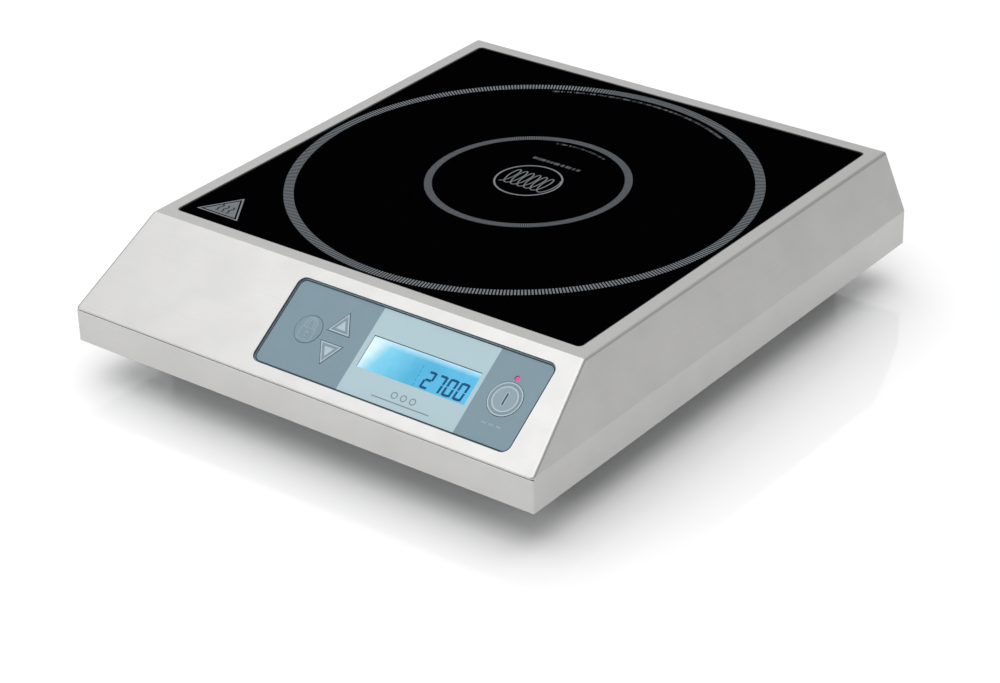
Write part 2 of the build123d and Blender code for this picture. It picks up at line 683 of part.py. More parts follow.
SPRING_TURNS = 3
with BuildPart() as coil_springs:
    for post_at in POSTS:
        spring_base = Plane(origin=(*post_at, POST_TOP + 1))
        with BuildLine(spring_base):
            turns = Helix(pitch=8 / SPRING_TURNS, height=8, radius=3.7)
        with BuildSketch(Plane(origin=turns @ 0, z_dir=turns % 0)):
            Circle(0.85)
        sweep(path=turns)
pieces["coil_springs"] = coil_springs

with BuildPart() as temperature_sensor:
    with BuildSketch(Plane(origin=(0, GLASS_Y, DISC_Z + CARRIER_DISC))):
        Circle(5)
    extrude(amount=GLASS_Z - 0.1 - DISC_Z - CARRIER_DISC)
    fillet(temperature_sensor.edges().group_by(Axis.Z)[-1], 0.8)
pieces["temperature_sensor"] = temperature_sensor

# ================================================================ power board and what it carries
BOARD = Plane(origin=(BOARD_X, BOARD_Y, BOARD_TOP))
BOARD_HOLES = GridLocations(BOARD_SIZE[0] - 10, BOARD_SIZE[1] - 10, 2, 2)
with BuildPart() as power_board:
    with BuildSketch(BOARD.offset(-BOARD_THICK)):
        RectangleRounded(*BOARD_SIZE, 2)
        with BOARD_HOLES:
            Circle(1.5 + FIT, mode=Mode.SUBTRACT)
    extrude(amount=BOARD_THICK)
pieces["power_board"] = power_board

with BuildPart() as board_standoffs:
    with BuildSketch(Plane(origin=(BOARD_X, BOARD_Y, FLOOR_Z))):
        with BOARD_HOLES:
            RegularPolygon(3.6, 6)
            Circle(1.5 + FIT, mode=Mode.SUBTRACT)
    extrude(amount=STANDOFF)
pieces["board_standoffs"] = board_standoffs

with BuildPart() as board_screws:
    with BuildSketch(BOARD):
        with BOARD_HOLES:
            Circle(2.8)
    extrude(amount=2)
    with BuildSketch(BOARD):
        with BOARD_HOLES:
            Circle(1.5)
    extrude(amount=-BOARD_THICK - 5)
pieces["board_screws"] = board_screws

SINK_SIZE = (46.0, 82.0)
SINK_AT = (34.0, 0.0)
SINK_HEIGHT = 26.0
with BuildPart() as heat_sink:
    with BuildSketch(frame_on(BOARD, SINK_AT)):
        Rectangle(*SINK_SIZE)
    extrude(amount=SINK_HEIGHT)
    with BuildSketch(frame_on(BOARD, SINK_AT, 5)):
        with GridLocations(0, 5, 1, 15):
            Rectangle(SINK_SIZE[0] + 2, 3.4)
    extrude(amount=SINK_HEIGHT, mode=Mode.SUBTRACT)
pieces["heat_sink"] = heat_sink

SINK_FACE_X = SINK_AT[0] - SINK_SIZE[0] / 2
with BuildPart() as power_transistors:
    for device_y in (-24, 0, 24):
        with BuildSketch(frame_on(BOARD, (SINK_FACE_X - 2.6, device_y), 3)):
            Rectangle(5, 16)
        extrude(amount=20)
        with BuildSketch(frame_on(BOARD, (SINK_FACE_X - 2.6, device_y))):
            with GridLocations(0, 5.4, 1, 3):
                Rectangle(0.8, 1.2)
        extrude(amount=3)
pieces["power_transistors"] = power_transistors

CAPACITORS = [(-8.0, 26.0), (-8.0, 0.0), (-8.0, -26.0)]
with BuildPart() as film_capacitors:
    for at in CAPACITORS:
        with BuildSketch(frame_on(BOARD, at)):
            RectangleRounded(18, 22, 1)
        extrude(amount=28)
pieces["film_capacitors"] = film_capacitors

CHOKE_AT = (-46.0, 21.0)
with BuildPart() as choke_core:
    with BuildSketch(frame_on(BOARD, CHOKE_AT, 4)):
        Circle(14)
        Circle(8, mode=Mode.SUBTRACT)
    extrude(amount=12)
pieces["choke_core"] = choke_core

with BuildPart() as choke_winding:
    WINDINGS = 20
    with BuildSketch(frame_on(BOARD, CHOKE_AT, 2)):
        with PolarLocations(0, WINDINGS, start_angle=9, angular_range=360):
            with Locations((11, 0)):
                Rectangle(10, 1.6)
    extrude(amount=16)
    with BuildSketch(frame_on(BOARD, CHOKE_AT, 4 - GAP)):
        Circle(14 + GAP)
        Circle(8 - GAP, mode=Mode.SUBTRACT)
    extrude(amount=12 + 2 * GAP, mode=Mode.SUBTRACT)
    with BuildSketch(frame_on(BOARD, CHOKE_AT, 9)):
        Circle(15.2)
        Circle(14.3, mode=Mode.SUBTRACT)
    extrude(amount=2)
pieces["choke_winding"] = choke_winding

with BuildPart() as mains_fuse:
    fuse_end = Plane(origin=BOARD.from_local_coords((-60, -14, 6)), x_dir=(0, 1, 0), z_dir=(1, 0, 0))
    with BuildSketch(fuse_end):
        Circle(2.6)
    extrude(amount=20)
    with BuildSketch(frame_on(BOARD, (-50, -14))):
        with GridLocations(17, 0, 2, 1):
            Rectangle(3, 1.2)
    extrude(amount=6)
pieces["mains_fuse"] = mains_fuse

with BuildPart() as board_terminals:
    with BuildSketch(BOARD):
        with Locations((-52, -36), (-32, -36)):
            Rectangle(9, 9)
        with Locations((-46, 44)):
            Rectangle(20, 8)
        with Locations((-6, -43)):
            Rectangle(18, 6)
    extrude(amount=8)
pieces["board_terminals"] = board_terminals

with BuildPart() as terminal_block:
    with BuildSketch(Plane(origin=(BLOCK_X, BLOCK_Y, FLOOR_Z))):
        RectangleRounded(34, 20, 1)
    extrude(amount=15)
    with BuildSketch(Plane(origin=(BLOCK_X, BLOCK_Y, FLOOR_Z + 16))):
        with GridLocations(11, 0, 3, 1):
            Circle(3.4)
    extrude(amount=-7, mode=Mode.SUBTRACT)
pieces["terminal_block"] = terminal_block

with BuildPart() as terminal_screws:
    with BuildSketch(Plane(origin=(BLOCK_X, BLOCK_Y, FLOOR_Z + 9))):
        with GridLocations(11, 0, 3, 1):
            Circle(3)
    extrude(amount=3)
    with BuildSketch(Plane(origin=(BLOCK_X, BLOCK_Y, FLOOR_Z + 12))):
        with GridLocations(11, 0, 3, 1):
            Rectangle(5, 0.8)
    extrude(amount=-1, mode=Mode.SUBTRACT)
pieces["terminal_screws"] = terminal_screws

# ================================================================ cooling fan
with BuildPart() as fan_frame:
    with BuildSketch(Plane(origin=(FAN_X, FAN_Y, FAN_Z))):
        RectangleRounded(FAN_SIDE, FAN_SIDE, 5)
        Circle(FAN_BORE, mode=Mode.SUBTRACT)
        with GridLocations(FAN_HOLES, FAN_HOLES, 2, 2):
            Circle(2 + FIT, mode=Mode.SUBTRACT)
    extrude(amount=FAN_DEPTH)
    # The waist between the two mounting flanges.
    with BuildSketch(Plane(origin=(FAN_X, FAN_Y, FAN_Z + 4))):
        Rectangle(FAN_SIDE + 2, FAN_SIDE + 2)
        Circle(FAN_BORE + 1.5, mode=Mode.SUBTRACT)
    extrude(amount=FAN_DEPTH - 8, mode=Mode.SUBTRACT)
    # Motor cup and its four struts, on the outlet side.
    with BuildSketch(Plane(origin=(FAN_X, FAN_Y, FAN_Z + FAN_DEPTH - 3))):
        Circle(HUB_RADIUS)
        with PolarLocations((FAN_BORE + HUB_RADIUS) / 2, 4, start_angle=45):
            Rectangle(FAN_BORE - HUB_RADIUS + 3, 5)
    extrude(amount=3)
    with BuildSketch(Plane(origin=(FAN_X, FAN_Y, FAN_Z + 8))):
        Circle(4.2)
    extrude(amount=FAN_DEPTH - 10)
    with BuildSketch(Plane(origin=(FAN_X, FAN_Y, FAN_Z + 7))):
        Circle(3.1)
    extrude(amount=FAN_DEPTH - 10, mode=Mode.SUBTRACT)
pieces["fan_frame"] = fan_frame

with BuildPart() as fan_bearing:
    with BuildSketch(Plane(origin=(FAN_X, FAN_Y, FAN_Z + 8))):
        Circle(3)
        Circle(1.55, mode=Mode.SUBTRACT)
    extrude(amount=12)
pieces["fan_bearing"] = fan_bearing

with BuildPart() as fan_stator:
    with BuildSketch(Plane(origin=(FAN_X, FAN_Y, FAN_Z + 11))):
        Circle(6.5)
        with PolarLocations(9, 4):
            Rectangle(10, 4)
            with Locations((3.4, 0)):
                Rectangle(2.4, 13)
        Circle(4.3, mode=Mode.SUBTRACT)
    extrude(amount=8)
pieces["fan_stator"] = fan_stator

with BuildPart() as fan_rotor:
    rotor_base = Plane(origin=(FAN_X, FAN_Y, ROTOR_Z))
    with BuildSketch(rotor_base):
        Circle(HUB_RADIUS)
    extrude(amount=16.5)
    with BuildSketch(rotor_base.offset(2)):
        Circle(HUB_RADIUS - 1.4)
    extrude(amount=20, mode=Mode.SUBTRACT)
    fillet(fan_rotor.faces().sort_by(Axis.Z)[0].edges(), 1.2)
    with BuildSketch(rotor_base.offset(1)):
        Circle(1.5)
    extrude(amount=14.5)
    # Each blade is lofted from a steep root to a flatter tip.
    for blade in range(BLADES):
        turn = 2 * pi * blade / BLADES
        out = Vector(cos(turn), sin(turn), 0)
        along = Vector(-sin(turn), cos(turn), 0)
        middle = Vector(FAN_X, FAN_Y, ROTOR_Z + 8)
        for radius, lean, chord in ((HUB_RADIUS - 0.6, 48, 17.0), (FAN_BORE - 2.6, 30, 25.0)):
            tilt = radians(lean)
            chord_dir = along * cos(tilt) + Vector(0, 0, sin(tilt))
            with BuildSketch(Plane(origin=middle + out * radius, x_dir=chord_dir, z_dir=out)):
                SlotOverall(chord, 1.2)
        loft(ruled=True)
pieces["fan_rotor"] = fan_rotor

with BuildPart() as fan_screws:
    for dx in (-FAN_HOLES / 2, FAN_HOLES / 2):
        for dy in (-FAN_HOLES / 2, FAN_HOLES / 2):
            screw = Plane(origin=(FAN_X + dx, FAN_Y + dy, BASE_Z))
            with BuildSketch(screw):
                Circle(3.8)
            extrude(amount=-2.2)
            with BuildSketch(screw):
                Circle(2)
            extrude(amount=SHEET + 4)
pieces["fan_screws"] = fan_screws


# ================================================================ leads inside the housing
def lead(points, radius):
    """Adds one insulated lead to the open part: straight runs joined by bends as large as they allow."""
    points = [Vector(*p) for p in points]
    radii = []
    for before, here, after in zip(points, points[1:], points[2:]):
        turn = (here - before).get_angle(after - here)
        run = min((here - before).length, (after - here).length)
        radii.append(0.45 * run / abs(sin(radians(turn) / 2) / cos(radians(turn) / 2)))
    with BuildLine():
        route = FilletPolyline(*points, radius=radii)
    with BuildSketch(Plane(origin=route @ 0, z_dir=route % 0)) as section:
        Circle(radius)
    sweep(section.sketch, path=route)


TERMINAL_TOP = BOARD_TOP + 8.05
TERMINAL_A = BOARD.from_local_coords((-52, -36, 0))
TERMINAL_B = BOARD.from_local_coords((-32, -36, 0))
COIL_BOTTOM = COIL_TOP - COIL_THICK - 0.05
with BuildPart() as coil_leads:
    for end, terminal in zip(COIL_ENDS, (TERMINAL_B, TERMINAL_A)):
        lead(
            [
                (end.X, end.Y, COIL_BOTTOM),
                (end.X, end.Y, 62),
                (terminal.X, terminal.Y, 60),
                (terminal.X, terminal.Y, TERMINAL_TOP),
            ],
            LEAD_RADIUS,
        )
pieces["coil_leads"] = coil_leads

with BuildPart() as mains_leads:
    for slot in (0, 1):
        block_x = BLOCK_X - 11 + 11 * slot
        board_end = BOARD.from_local_coords((-50 + 8 * slot, 44, 0))
        lead(
            [
                (block_x, BLOCK_Y - 10 - GAP, FLOOR_Z + 5),
                (block_x, BLOCK_Y - 16, FLOOR_Z + 5),
                (block_x + 3, BLOCK_Y - 19, 47),
                (board_end.X, board_end.Y, 54 - 3 * slot),
                (board_end.X, board_end.Y, TERMINAL_TOP),
            ],
            1.4,
        )
pieces["mains_leads"] = mains_leads

LUG_Z = FLOOR_Z + 3 + GAP
with BuildPart() as earth_lead:
    with BuildSketch(Plane(origin=(*EARTH_AT, LUG_Z))):
        Circle(4)
        with Locations((-5, 0)):
            Rectangle(7, 4)
        Circle(2 + FIT, mode=Mode.SUBTRACT)
    extrude(amount=1)
    lead(
        [
            (EARTH_AT[0] - 8.3, EARTH_AT[1], LUG_Z + 0.5),
            (BLOCK_X + 11, EARTH_AT[1], LUG_Z + 1.5),
            (BLOCK_X + 11, BLOCK_Y + 10 + GAP, LUG_Z + 1.5),
        ],
        1.4,
    )
pieces["earth_lead"] = earth_lead

FAN_PLUG = BOARD.from_local_coords((-1, -43, 0))
with BuildPart() as fan_lead:
    lead(
        [
            (FAN_X - 36, FAN_Y - FAN_SIDE / 2 - GAP, FAN_Z + 2),
            (FAN_X - 36, FAN_Y - FAN_SIDE / 2 - 8, FAN_Z + 2),
            (20, FAN_Y - FAN_SIDE / 2 - 11, 44),
            (FAN_PLUG.X - 3, FAN_PLUG.Y - 8, 50),
            (FAN_PLUG.X - 3, FAN_PLUG.Y, 51),
            (FAN_PLUG.X - 3, FAN_PLUG.Y, TERMINAL_TOP),
        ],
        1.0,
    )
pieces["fan_lead"] = fan_lead

with BuildPart() as sensor_lead:
    lead(
        [
            (0, GLASS_Y, DISC_Z + CARRIER_DISC - GAP),
            (0, GLASS_Y, 64),
            (-30, GLASS_Y - 4, 58),
            (FAN_PLUG.X - 10, FAN_PLUG.Y, 57),
            (FAN_PLUG.X - 10, FAN_PLUG.Y, TERMINAL_TOP),
        ],
        0.9,
    )
pieces["sensor_lead"] = sensor_lead

# ================================================================ output
os.makedirs("parts", exist_ok=True)
for label, piece in pieces.items():
    piece.part.label = label
    export_step(piece.part, f"parts/{label}.step")
print(len(pieces), "nodes")
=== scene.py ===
"""Countertop induction hot plate on a glossy white studio floor.

Lengths are in metres and angles in radians. The printed marks are drawn in millimetres.
"""

import json
import math
import random

import bpy
from mathutils import Matrix, Vector


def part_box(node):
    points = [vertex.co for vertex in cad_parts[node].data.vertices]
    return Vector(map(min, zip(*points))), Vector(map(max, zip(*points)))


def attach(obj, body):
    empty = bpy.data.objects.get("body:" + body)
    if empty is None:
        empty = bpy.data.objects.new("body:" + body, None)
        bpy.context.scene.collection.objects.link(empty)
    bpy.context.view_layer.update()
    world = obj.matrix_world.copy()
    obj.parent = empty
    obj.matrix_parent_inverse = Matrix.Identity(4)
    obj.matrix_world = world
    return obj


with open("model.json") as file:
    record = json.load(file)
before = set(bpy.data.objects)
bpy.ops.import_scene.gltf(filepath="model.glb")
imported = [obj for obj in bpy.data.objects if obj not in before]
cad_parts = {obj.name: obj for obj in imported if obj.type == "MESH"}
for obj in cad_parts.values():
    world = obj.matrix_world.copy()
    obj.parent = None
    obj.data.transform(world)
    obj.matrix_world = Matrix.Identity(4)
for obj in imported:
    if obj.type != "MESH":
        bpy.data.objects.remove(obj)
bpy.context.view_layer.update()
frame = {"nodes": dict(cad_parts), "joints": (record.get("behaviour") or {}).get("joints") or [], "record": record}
nodes = frame["nodes"]
MM = 0.001
rng = random.Random(27)


def centre(node):
    """Middle of a node's box."""
    low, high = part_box(node)
    return (low + high) / 2


# ---------------------------------------------------------------- materials
class Shader:
    """A material's node tree, with short ways to add and join nodes."""

    def __init__(self, name):
        self.material = bpy.data.materials.new(name)
        self.material.use_nodes = True
        self.tree = self.material.node_tree
        self.bsdf = self.tree.nodes["Principled BSDF"]
        self.place = self.add("ShaderNodeTexCoord").outputs["Object"]

    def add(self, kind, inputs=None, **settings):
        node = self.tree.nodes.new(kind)
        for key, value in settings.items():
            setattr(node, key, value)
        for key, value in (inputs or {}).items():
            self.join(value, node.inputs[key])
        return node

    def join(self, value, socket):
        if isinstance(value, bpy.types.NodeSocket):
            self.tree.links.new(value, socket)
        elif isinstance(value, (tuple, list)) and len(value) == 3 and len(socket.default_value) == 4:
            socket.default_value = (*value, 1)
        else:
            socket.default_value = value

    def set(self, **inputs):
        for key, value in inputs.items():
            self.join(value, self.bsdf.inputs[key.replace("_", " ")])
        return self

    def math(self, operation, *values):
        node = self.add("ShaderNodeMath", operation=operation)
        for socket, value in zip(node.inputs, values):
            self.join(value, socket)
        return node.outputs[0]

    def noise(self, scale, detail=3, rough=0.5, stretch=(1, 1, 1)):
        """Noise between 0 and 1, in cells of 1/scale metres times the stretch."""
        spread = self.add(
            "ShaderNodeMapping", {"Vector": self.place, "Scale": [scale / side for side in stretch]}
        ).outputs[0]
        settings = {"Vector": spread, "Scale": 1.0, "Detail": detail, "Roughness": rough}
        return self.add("ShaderNodeTexNoise", settings).outputs["Fac"]

    def between(self, value, low, high, from_low=0.25, from_high=0.75):
        """Value taken from one range to another. Most noise lies between 0.25 and 0.75."""
        limits = {"From Min": from_low, "From Max": from_high, "To Min": low, "To Max": high}
        return self.add("ShaderNodeMapRange", {"Value": value, **limits}).outputs[0]

    def blend(self, factor, first, second):
        """One colour passing into another."""
        node = self.add("ShaderNodeMix", data_type="RGBA")
        for socket, value in zip((node.inputs[0], node.inputs[6], node.inputs[7]), (factor, first, second)):
            self.join(value, socket)
        return node.outputs[2]

    def bump(self, height, depth, strength):
        """Roughens the surface by a height between 0 and 1, depth metres deep."""
        node = self.add("ShaderNodeBump", {"Height": height, "Distance": depth, "Strength": strength})
        self.join(node.outputs[0], self.bsdf.inputs["Normal"])
        return self


STEEL = (0.535, 0.532, 0.526)
STREAKS_PER_METRE = 2600
STREAK_STRETCH = 260
SIDE_FACING = 0.8
LIGHT_ZONE = (26.1 * MM, 109.6 * MM)


def shade(colour, factor):
    return tuple(channel * factor for channel in colour)


def brushed_steel(name, colour, rough):
    """Sheet with fine streaks and handling marks, brushed along Y on the sides and along X elsewhere."""
    s = Shader(name)
    normal = s.add("ShaderNodeNewGeometry").outputs["Normal"]
    across = s.math("ABSOLUTE", s.add("ShaderNodeSeparateXYZ", {0: normal}).outputs[0])
    on_side = s.math("GREATER_THAN", across, SIDE_FACING)
    grain = s.add("ShaderNodeCombineXYZ", {0: s.math("SUBTRACT", 1.0, on_side), 1: on_side}).outputs[0]
    along_x = s.noise(STREAKS_PER_METRE, 2, 0.7, (STREAK_STRETCH, 1, 1))
    along_y = s.noise(STREAKS_PER_METRE, 2, 0.7, (1, STREAK_STRETCH, 1))
    fine = s.add("ShaderNodeMix", {0: on_side, 2: along_x, 3: along_y}).outputs[0]
    marks = s.noise(35, 4, 0.6)
    tone = s.blend(s.between(fine, 0, 1), shade(colour, 0.94), shade(colour, 1.04))
    tone = s.blend(s.between(marks, 0, 0.5, 0.45, 0.75), tone, shade(colour, 0.93))
    uneven = s.math("ADD", s.between(fine, -0.05, 0.05), s.between(marks, -0.03, 0.05))
    s.set(Base_Color=tone, Metallic=1.0, Roughness=s.math("ADD", uneven, rough))
    s.set(Anisotropic=0.55, Tangent=grain)
    return s.bump(fine, 4e-6, 0.6).material


def moulded(name, colour, rough, grain=9000, depth=1.2e-5):
    """Plastic, rubber or paint with a fine surface grain and slight wear."""
    s = Shader(name)
    grains = s.noise(grain, 2)
    wear = s.noise(60, 4, 0.6)
    tone = s.blend(s.between(wear, 0, 1, 0.3, 0.8), shade(colour, 0.9), shade(colour, 1.08))
    s.set(Base_Color=tone, Roughness=s.between(wear, rough - 0.06, rough + 0.08))
    return s.bump(grains, depth, 0.5).material


def turned_metal(name, colour, rough):
    """Plain metal with fine tooling marks and a little tarnish."""
    s = Shader(name)
    tarnish = s.noise(180, 4, 0.6)
    tone = s.blend(s.between(tarnish, 0, 1, 0.4, 0.8), colour, shade(colour, 0.72))
    s.set(Base_Color=tone, Metallic=1.0, Roughness=s.between(tarnish, rough - 0.05, rough + 0.15))
    return s.bump(s.noise(5000, 2), 5e-6, 0.5).material


def black_glass():
    """Glass-ceramic: almost black and smooth, with hairline scratches and a faint film of dust."""
    s = Shader("glass ceramic")
    dust = s.noise(700, 5, 0.7)
    film = s.noise(14, 3, 0.5)
    scratch = s.noise(400, 2, 0.4, (40, 1, 1))
    hair = s.math("GREATER_THAN", scratch, 0.78)
    clean, dusty = (0.0006, 0.0005, 0.0008), (0.0018, 0.0018, 0.0022)
    tone = s.blend(s.between(dust, 0, 0.5, 0.6, 0.85), clean, dusty)
    rough = s.math("ADD", s.between(film, 0.06, 0.11), s.math("MULTIPLY", hair, 0.1))
    s.set(Base_Color=tone, Roughness=rough, Specular_IOR_Level=0.0)
    return s.bump(dust, 2e-6, 0.3).material


def panel_film(name, zoned):
    """Printed membrane: blue grey at both ends, silver in the middle zone, with a fine metallic grain."""
    s = Shader(name)
    dark, light = (0.12, 0.2, 0.247), (0.32, 0.445, 0.488)
    sparkle = s.noise(11000, 1)
    tone = dark
    if zoned:
        x = s.add("ShaderNodeSeparateXYZ", {0: s.place}).outputs[0]
        start, end = LIGHT_ZONE
        zone = s.math("MULTIPLY", s.math("GREATER_THAN", x, start), s.math("LESS_THAN", x, end))
        tone = s.blend(zone, dark, light)
    tone = s.blend(s.between(sparkle, 0, 0.1), tone, (0.75, 0.8, 0.85))
    s.set(Base_Color=tone, Metallic=0.15, Roughness=s.between(s.noise(90, 3), 0.34, 0.44))
    return s.bump(sparkle, 6e-6, 0.4).material


def lit_display():
    """The display's face: a white glow at the left that passes into cyan and then blue."""
    s = Shader("display face")
    low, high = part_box("lcd_window")
    axes = s.add("ShaderNodeSeparateXYZ", {0: s.place})
    along = s.between(axes.outputs[0], 0, 1, low.x, high.x)
    up = s.between(axes.outputs[2], 0, 1, low.z, high.z)
    lean = s.math("MULTIPLY", s.math("SUBTRACT", 0.5, up), 0.12)
    ramp = s.add("ShaderNodeValToRGB", {0: s.math("ADD", along, lean)})
    top_glow = s.between(up, 0, 0.75, 0.8, 0.97)
    stops = ramp.color_ramp.elements
    stops[0].position, stops[0].color = 0.0, (0.8, 0.96, 1.0, 1)
    stops[1].position, stops[1].color = 1.0, (0.09, 0.5, 0.8, 1)
    between_ends = ((0.05, (0.66, 0.92, 1.0, 1)), (0.16, (0.2, 0.64, 0.86, 1)), (0.5, (0.06, 0.43, 0.69, 1)))
    for position, colour in between_ends:
        stops.new(position).color = colour
    glow = s.blend(top_glow, ramp.outputs[0], (0.62, 0.86, 0.95))
    mottle = s.between(s.noise(160, 3), 0.92, 1.05)
    s.set(Base_Color=(0.01, 0.02, 0.03), Specular_IOR_Level=0.2)
    s.set(Roughness=s.between(s.noise(50, 2), 0.1, 0.2), Emission_Color=glow, Emission_Strength=mottle)
    return s.bump(s.noise(900, 2), 3e-6, 0.3).material


def lamp(name, colour, strength):
    """A lit lens with a slightly frosted face."""
    s = Shader(name)
    frost = s.noise(4000, 2)
    s.set(Base_Color=colour, Roughness=s.between(frost, 0.25, 0.4), Emission_Color=colour)
    s.set(Emission_Strength=s.between(frost, strength * 0.85, strength))
    return s.bump(frost, 5e-6, 0.4).material


def print_ink(name, colour):
    """Screen-printed ink, slightly uneven."""
    s = Shader(name)
    spots = s.noise(2500, 3, 0.6)
    tone = s.blend(s.between(spots, 0, 1), shade(colour, 0.82), shade(colour, 1.08))
    s.set(Base_Color=tone, Roughness=0.5, Specular_IOR_Level=0.15)
    return s.bump(spots, 4e-6, 0.4).material


FINISHES = {
    "brushed_steel": brushed_steel("brushed steel", STEEL, 0.33),
    "glass_ceramic": black_glass(),
    "silicone_seal": moulded("silicone seal", (0.03, 0.03, 0.032), 0.6),
    "folded_zinc_steel": turned_metal("galvanised sheet", (0.5, 0.51, 0.52), 0.45),
    "foot_rubber": moulded("foot rubber", (0.02, 0.02, 0.021), 0.75, 6000, 3e-5),
    "zinc_screws": turned_metal("zinc plating", (0.62, 0.62, 0.6), 0.3),
    "black_nylon": moulded("black nylon", (0.025, 0.025, 0.028), 0.5),
    "overlay_film": panel_film("panel film", True),
    "key_pads": panel_film("key film", False),
    "clear_window": lit_display(),
    "led_red": lamp("red lamp", (0.8, 0.03, 0.2), 0.85),
    "lcd_glass": moulded("display cell", (0.05, 0.12, 0.2), 0.2),
    "backlight": lamp("backlight", (0.25, 0.65, 0.9), 0.7),
    "carrier_plastic": moulded("carrier plastic", (0.33, 0.46, 0.53), 0.55),
    "board_green": moulded("solder resist", (0.02, 0.14, 0.06), 0.35, 3000),
    "chip_black": moulded("moulding compound", (0.015, 0.015, 0.015), 0.55),
    "copper_litz": turned_metal("enamelled copper", (0.72, 0.32, 0.14), 0.3),
    "ferrite": moulded("ferrite", (0.04, 0.04, 0.045), 0.6, 4000, 2e-5),
    "mica": moulded("mica sheet", (0.55, 0.48, 0.35), 0.6, 2000, 2e-5),
    "aluminium": turned_metal("aluminium", (0.78, 0.78, 0.79), 0.35),
    "brass_posts": turned_metal("brass", (0.75, 0.56, 0.26), 0.3),
    "spring_steel": turned_metal("spring steel", (0.4, 0.4, 0.4), 0.3),
    "sensor_ceramic": moulded("sensor ceramic", (0.8, 0.8, 0.76), 0.5),
    "film_case": moulded("capacitor case", (0.7, 0.42, 0.05), 0.35),
    "block_white": moulded("terminal block", (0.78, 0.78, 0.72), 0.45),
    "rotor_plastic": moulded("rotor plastic", (0.03, 0.03, 0.032), 0.45),
    "red_lead": moulded("red sleeve", (0.5, 0.03, 0.02), 0.5),
    "black_lead": moulded("black sleeve", (0.02, 0.02, 0.02), 0.5),
    "earth_green": moulded("earth sleeve", (0.2, 0.42, 0.05), 0.5),
}

slot_of = {part["node"]: part["material_slot"] for part in frame["record"]["subparts"]}
for node_name, node in nodes.items():
    node.data.materials.clear()
    node.data.materials.append(FINISHES[slot_of[node_name]])

# ---------------------------------------------------------------- flat printed marks
# Half the overlay's thickness, how far the keys stand proud of it, and the height of one layer of ink.
HALF_OVERLAY = 0.2 * MM
KEY_PROUD = 0.15 * MM
FILM = 0.03 * MM
press = next(joint for joint in frame["joints"] if joint["name"] == "key_power_press")
PANEL_OUT = -Vector(press["axis"]).normalized()
PANEL_X = Vector((1, 0, 0))
PANEL_Y = PANEL_OUT.cross(PANEL_X)
panel_face = centre("panel_overlay") + PANEL_OUT * HALF_OVERLAY
glass_low, glass_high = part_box("glass_plate")
glass_face = Vector((*((glass_low + glass_high) / 2).xy, glass_high.z))


def marks(name, shapes, origin, axes, finish, body="hob", paint="overlay_film", lift=FILM):
    """Flat printed shapes. Each shape is a list of (x, y) in millimetres from origin along two axes."""
    x_axis, y_axis = axes
    out = x_axis.cross(y_axis)
    points, faces = [], []
    for shape in shapes:
        start = len(points)
        points += [origin + out * lift + x_axis * x * MM + y_axis * y * MM for x, y in shape]
        faces.append(range(start, start + len(shape)))
    mesh = bpy.data.meshes.new(name)
    mesh.from_pydata(points, [], faces)
    mesh.materials.append(finish)
    obj = bpy.data.objects.new(name, mesh)
    bpy.context.scene.collection.objects.link(obj)
    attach(obj, body)


def polar(radius, angle, at=(0, 0)):
    return at[0] + radius * math.cos(angle), at[1] + radius * math.sin(angle)


def ring(inner, outer, at=(0, 0), steps=96):
    """Quads of a flat ring."""
    for step in range(steps):
        a, b = (2 * math.pi * (step + k) / steps for k in (0, 1))
        yield [polar(inner, a, at), polar(outer, a, at), polar(outer, b, at), polar(inner, b, at)]


def ticks(inner, outer, at, count, fill):
    """Radial ticks round a ring; fill is the part of each step that is printed."""
    for step in range(count):
        a = 2 * math.pi * step / count
        b = a + 2 * math.pi * fill / count
        yield [polar(inner, a, at), polar(outer, a, at), polar(outer, b, at), polar(inner, b, at)]


def disc(radius, at=(0, 0), steps=64):
    return [polar(radius, 2 * math.pi * step / steps, at) for step in range(steps)]


def box(low_x, low_y, high_x, high_y):
    return [(low_x, low_y), (high_x, low_y), (high_x, high_y), (low_x, high_y)]


def scaled(shape, factor):
    """The shape drawn in towards its middle."""
    x = sum(p[0] for p in shape) / len(shape)
    y = sum(p[1] for p in shape) / len(shape)
    return [(x + (p[0] - x) * factor, y + (p[1] - y) * factor) for p in shape]


def outline(shape, factor):
    """Quads of a shape's border, from the shape itself to its scaled copy."""
    inner = scaled(shape, factor)
    for k in range(len(shape)):
        n = (k + 1) % len(shape)
        yield [shape[k], shape[n], inner[n], inner[k]]


def ribbon(points, width):
    """Quads of a line of one width through the points."""
    sides = []
    for k, (x, y) in enumerate(points):
        before, after = points[max(k - 1, 0)], points[min(k + 1, len(points) - 1)]
        dx, dy = after[0] - before[0], after[1] - before[1]
        scale = width / 2 / math.hypot(dx, dy)
        sides.append(((x - dy * scale, y + dx * scale), (x + dy * scale, y - dx * scale)))
    for (a, b), (c, d) in zip(sides, sides[1:]):
        yield [a, b, d, c]


def strokes(count):
    """Place and width of fine upright strokes in groups: a stand-in for small print that says nothing."""
    at = 0
    for step in range(count):
        at += rng.choice((0.8, 0.8, 1.1, 2.0))
        yield at, rng.choice((0.3, 0.3, 0.7))


def arc_strokes(radius, height, start, count):
    """The same strokes round an arc at the back of the plate, running clockwise from a start angle."""
    for at, width in strokes(count):
        a, b = start - at / radius, start - (at + width) / radius
        yield [polar(radius, a), polar(radius + height, a), polar(radius + height, b), polar(radius, b)]


